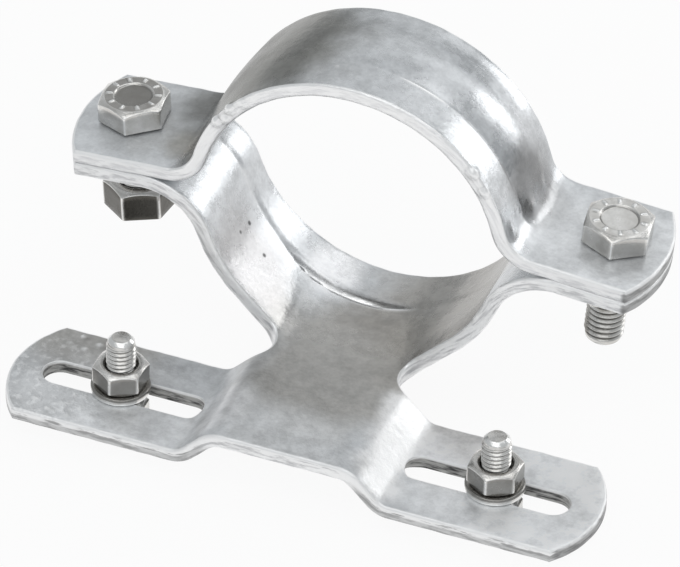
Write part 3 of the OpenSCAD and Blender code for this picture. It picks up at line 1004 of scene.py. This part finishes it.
def fastener(name, node, body, made, tilt, at, flip, material):
    """Adds a fastener's mesh in its place, merges its poles, and lets it stand for its CAD node."""
    points, quads, wear = made
    piece = add_mesh(name, placed(points, tilt, at, flip), [quads], material)
    set_attribute(piece.data, "wear", wear)
    work = bmesh.new()
    work.from_mesh(piece.data)
    bmesh.ops.remove_doubles(work, verts=work.verts, dist=1e-7)
    work.to_mesh(piece.data)
    work.free()
    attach(piece, body)
    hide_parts(node)


def on_strap(angle_deg, y, r):
    """Place on the ring, at an angle from its top towards +X, a distance along the post and a radius."""
    angle = math.radians(angle_deg)
    return r * math.sin(angle), y, r * math.cos(angle)


# Drops of zinc left on the cap and the base: place, radius and height
CAP_DROPS = [
    (on_strap(angle, y, r), size, high) for angle, y, r, size, high in (
        (50.5, -13.8, 33.0, 0.95, 0.7),
        (58.5, -13.9, 32.8, 0.85, 0.6),
        (-43.0, -13.8, 32.6, 0.85, 0.5),
        (-49.0, -13.7, 33.2, 0.9, 0.65),
        (-53.0, -14.0, 32.0, 0.9, 0.6),
        (-57.0, -13.8, 33.0, 0.9, 0.7),
        (-9.0, -7.5, 33.5, 0.7, 0.3),
        (77.0, -10.5, 34.2, 1.6, 0.35),
        (75.5, -6.5, 34.2, 1.5, 0.25),
        (78.0, -1.2, 34.2, 1.6, 0.35),
        (76.0, 5.5, 34.2, 1.8, 0.3),
    )
]
BASE_DROPS = [
    (on_strap(angle, y, r), size, high) for angle, y, r, size, high in (
        (-118.0, -13.7, 31.0, 0.8, 0.2),
        (-126.0, -13.8, 31.0, 0.8, 0.2),
        (118.0, -13.7, 31.0, 0.8, 0.2),
    )
]

# Lumps on the top of the left wing near its end: how many are tried, the middle and reach of their spread,
# how far they lie from the slot's line and inside the wing's end, and the middle and swing of their sizes
LUMP_COUNT = 60
LUMP_X = -50.0
LUMP_SPREAD = 15.0
LUMP_CLEAR = (8.2, 12.4)
LUMP_INSET = 1.8
LUMP_R = (0.85, 0.15)
LUMP_H = (0.3, 0.12)
GOLDEN_ANGLE = math.radians(137.5)


def wing_lumps():
    """Lumps spread in a disc by the golden angle. Those in the washer's path or near an edge are left out."""
    lumps = []
    for k in range(LUMP_COUNT):
        out = LUMP_SPREAD * math.sqrt(k / LUMP_COUNT)
        x = LUMP_X + out * math.cos(k * GOLDEN_ANGLE)
        aside = out * math.sin(k * GOLDEN_ANGLE)
        within_end = math.hypot(x + WING_REACH - WING_END_R, aside) < WING_END_R - LUMP_INSET
        if within_end and LUMP_CLEAR[0] < abs(aside) < LUMP_CLEAR[1]:
            r = LUMP_R[0] + LUMP_R[1] * math.sin(5 * k)
            high = LUMP_H[0] + LUMP_H[1] * math.sin(3 * k)
            lumps.append(((x, BAR_Y + aside, WING_TOP_Z), r, high))
    return lumps


BASE_DROPS += wing_lumps()
zinc = galvanised_zinc()
steel = plated_steel()
sheet_piece("upper_clamp_strap", "clamp_cap", cap_blank(), cap_middle, cap_painted_light, CAP_DROPS, zinc)
sheet_piece("lower_clamp_with_bar", "base_bracket", base_blank(), base_middle, base_painted_highlight, BASE_DROPS, zinc)

EAR_TOP = MEET_Z + SHEET_T
EAR_BOTTOM = MEET_Z - SHEET_T
CLAMP = {
    "thread_d": 8.0, "depth": 0.66, "pitch": 1.25, "across": 13.0, "high": 5.3, "dish_r": 3.9, "ticks": 10,
}
SIGN = {
    "thread_d": 6.0, "depth": 0.54, "pitch": 1.0, "across": 10.0, "high": 4.0, "dish_r": 2.7, "ticks": 0,
}
SIGN_LONG = 16.0
# Painted light of the sign bolts' dish, face, sides and seat: only the seat is painted light
SIGN_LIT = (0.0, 0.0, 0.0, 0.9)
NUT_M = 6.5
SIGN_NUT_M = 5.0
# Painted shade on the sign nuts
SIGN_NUT_LIT = -0.6
WASHER_D = 12.0
WASHER_T = 1.6
WASHER_PLAY = 0.4

# Clamp bolts: side, length, turns of head and nut, gap over the nut, and painted light and shade of head and
# nut
for word, side, long, head_turn, nut_turn, gap, head_lit, nut_lit in (
    ("left", -1, 22.0, 23.5, 37, 8.5, (-0.65, -0.55, 0.05, -0.8), -0.85),
    ("right", 1, 25.0, 38, 20, 0.0, (0.25, -0.1, -0.35, -0.8), 0.0),
):
    tilt = side * DROOP
    at = (side * CLAMP_X, CLAMP_Y, EAR_TOP)
    bolt = hex_bolt(side * head_turn, long=long, wear=head_lit, **CLAMP)
    fastener(f"clamp_screw_{word}", f"clamp_bolt_{word}", "bracket", bolt, tilt, at, False, steel)
    at = (side * CLAMP_X, CLAMP_Y, EAR_BOTTOM - gap - NUT_M)
    nut = hex_nut(side * nut_turn, CLAMP["thread_d"], CLAMP["across"], NUT_M, False, nut_lit)
    fastener(f"clamp_hex_nut_{word}", f"clamp_nut_{word}", "bracket", nut, tilt, at, False, steel)

# Sign bolts stand at the middle of their CAD washers
for word, nut_turn in (("left", 28), ("right", 29)):
    low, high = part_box(f"sign_washer_{word}")
    x = (low.x + high.x) / 2 / MM
    body = f"{word}_sign_bolt"
    bolt = hex_bolt(30, long=SIGN_LONG, wear=SIGN_LIT, **SIGN)
    at = (x, BAR_Y, WING_TOP_Z - SHEET_T)
    fastener(f"sign_screw_{word}", f"sign_bolt_{word}", body, bolt, 0, at, True, steel)
    washer = flat_washer(WASHER_D, SIGN["thread_d"] + WASHER_PLAY, WASHER_T)
    at = (x, BAR_Y, WING_TOP_Z)
    fastener(f"sign_flat_washer_{word}", f"sign_washer_{word}", body, washer, 0, at, False, steel)
    nut = hex_nut(nut_turn, SIGN["thread_d"], SIGN["across"], SIGN_NUT_M, True, SIGN_NUT_LIT)
    at = (x, BAR_Y, WING_TOP_Z + WASHER_T)
    fastener(f"sign_hex_nut_{word}", f"sign_nut_{word}", body, nut, 0, at, False, steel)

# Camera at the photograph's angle
IMAGE_W = 680
FOCAL_PX = 7189.65
SENSOR_MM = 36.0
EYE = Vector((382.160, -1058.242, 860.070))
AZIMUTH = math.radians(20.1478)
ELEVATION = math.radians(38.1598)
ROLL = math.radians(1.7274)


def towards(azimuth, elevation):
    """Unit direction from the object: azimuth 0 is the front, along -Y, and it grows towards +X."""
    level = math.cos(elevation)
    return Vector((math.sin(azimuth) * level, -math.cos(azimuth) * level, math.sin(elevation)))


def add_camera():
    """Camera whose view direction comes from azimuth and elevation, then rolled about it."""
    back = towards(AZIMUTH, ELEVATION)
    level = Vector((math.cos(AZIMUTH), math.sin(AZIMUTH), 0))
    above = back.cross(level)
    right = math.cos(ROLL) * level + math.sin(ROLL) * above
    up = -math.sin(ROLL) * level + math.cos(ROLL) * above
    data = bpy.data.cameras.new("photo_camera")
    data.sensor_width = SENSOR_MM
    data.lens = FOCAL_PX / IMAGE_W * SENSOR_MM
    data.clip_end = 100
    camera = bpy.data.objects.new("photo_camera", data)
    turn = Matrix((right, up, back)).transposed().to_4x4()
    camera.matrix_world = Matrix.Translation(EYE * MM) @ turn
    bpy.context.scene.collection.objects.link(camera)
    bpy.context.scene.camera = camera


# The floor: half its side in metres, and how much of its white is its own when it is seen or reflected
FLOOR_HALF = 20.0
WHITE_SHARE = 0.92


def add_floor():
    """Pale floor under the lowest bolt head: nearly white when seen or reflected, with a soft shadow."""
    level = CAD_BOX[0].z
    corners = [(FLOOR_HALF * x, FLOOR_HALF * y, level) for x, y in ((-1, -1), (1, -1), (1, 1), (-1, 1))]
    mesh = bpy.data.meshes.new("floor")
    mesh.from_pydata(corners, [], [(0, 1, 2, 3)])
    floor = bpy.data.objects.new("floor", mesh)
    bpy.context.scene.collection.objects.link(floor)
    material, here = new_material("white_floor")
    seen = here.add("LightPath", out="Is Camera Ray") + here.add("LightPath", out="Is Glossy Ray")
    seen = seen + here.add("LightPath", out="Is Transmission Ray")
    lit = here.add("BsdfDiffuse", None, {"Color": (0.9, 0.9, 0.9, 1)})
    white = here.add("Emission", None, {"Color": (1, 1, 1, 1), "Strength": 1.0})
    shader = here.add("MixShader", None, {0: WHITE_SHARE * seen, 1: lit, 2: white})
    here.add("OutputMaterial", None, {"Surface": shader})
    mesh.materials.append(material)


def add_softbox(name, azimuth_deg, elevation_deg, distance, wide, high, power):
    """A soft light that looks at the object from an azimuth and elevation, as the camera's are measured."""
    back = towards(math.radians(azimuth_deg), math.radians(elevation_deg))
    data = bpy.data.lights.new(name, "AREA")
    data.shape = "RECTANGLE"
    data.size = wide
    data.size_y = high
    data.energy = power
    lamp = bpy.data.objects.new(name, data)
    lamp.location = back * distance
    lamp.rotation_mode = "QUATERNION"
    lamp.rotation_quaternion = back.to_track_quat("Z", "Y")
    bpy.context.scene.collection.objects.link(lamp)


def add_world():
    """Even pale studio light from all round."""
    world = bpy.data.worlds.new("studio")
    world.use_nodes = True
    world.node_tree.nodes.clear()
    here = Value(world.node_tree)
    light = here.add("Background", None, {"Color": (0.95, 0.98, 1.0, 1), "Strength": 0.52})
    here.add("OutputWorld", None, {"Surface": light})
    bpy.context.scene.world = world


# Soft lights: azimuth and elevation in degrees, distance, width and height in metres, and power in watts
SOFTBOXES = (
    ("low_softbox", 141, 16, 0.9, 0.3, 0.45, 0.85),
    ("side_softbox", 160, 39, 1.2, 0.45, 0.45, 0.4),
    ("high_softbox", 118, 62, 1.0, 0.5, 0.5, 0.7),
    ("back_softbox", 200, 42, 1.2, 0.9, 0.9, 0.7),
    ("front_softbox", 20, 55, 1.2, 0.9, 0.9, 2.0),
    ("front_left_softbox", -35, 62, 1.2, 0.5, 0.5, 0.7),
)

add_camera()
add_floor()
add_world()
for row in SOFTBOXES:
    add_softbox(*row)
bpy.context.scene.view_settings.view_transform = "Standard"
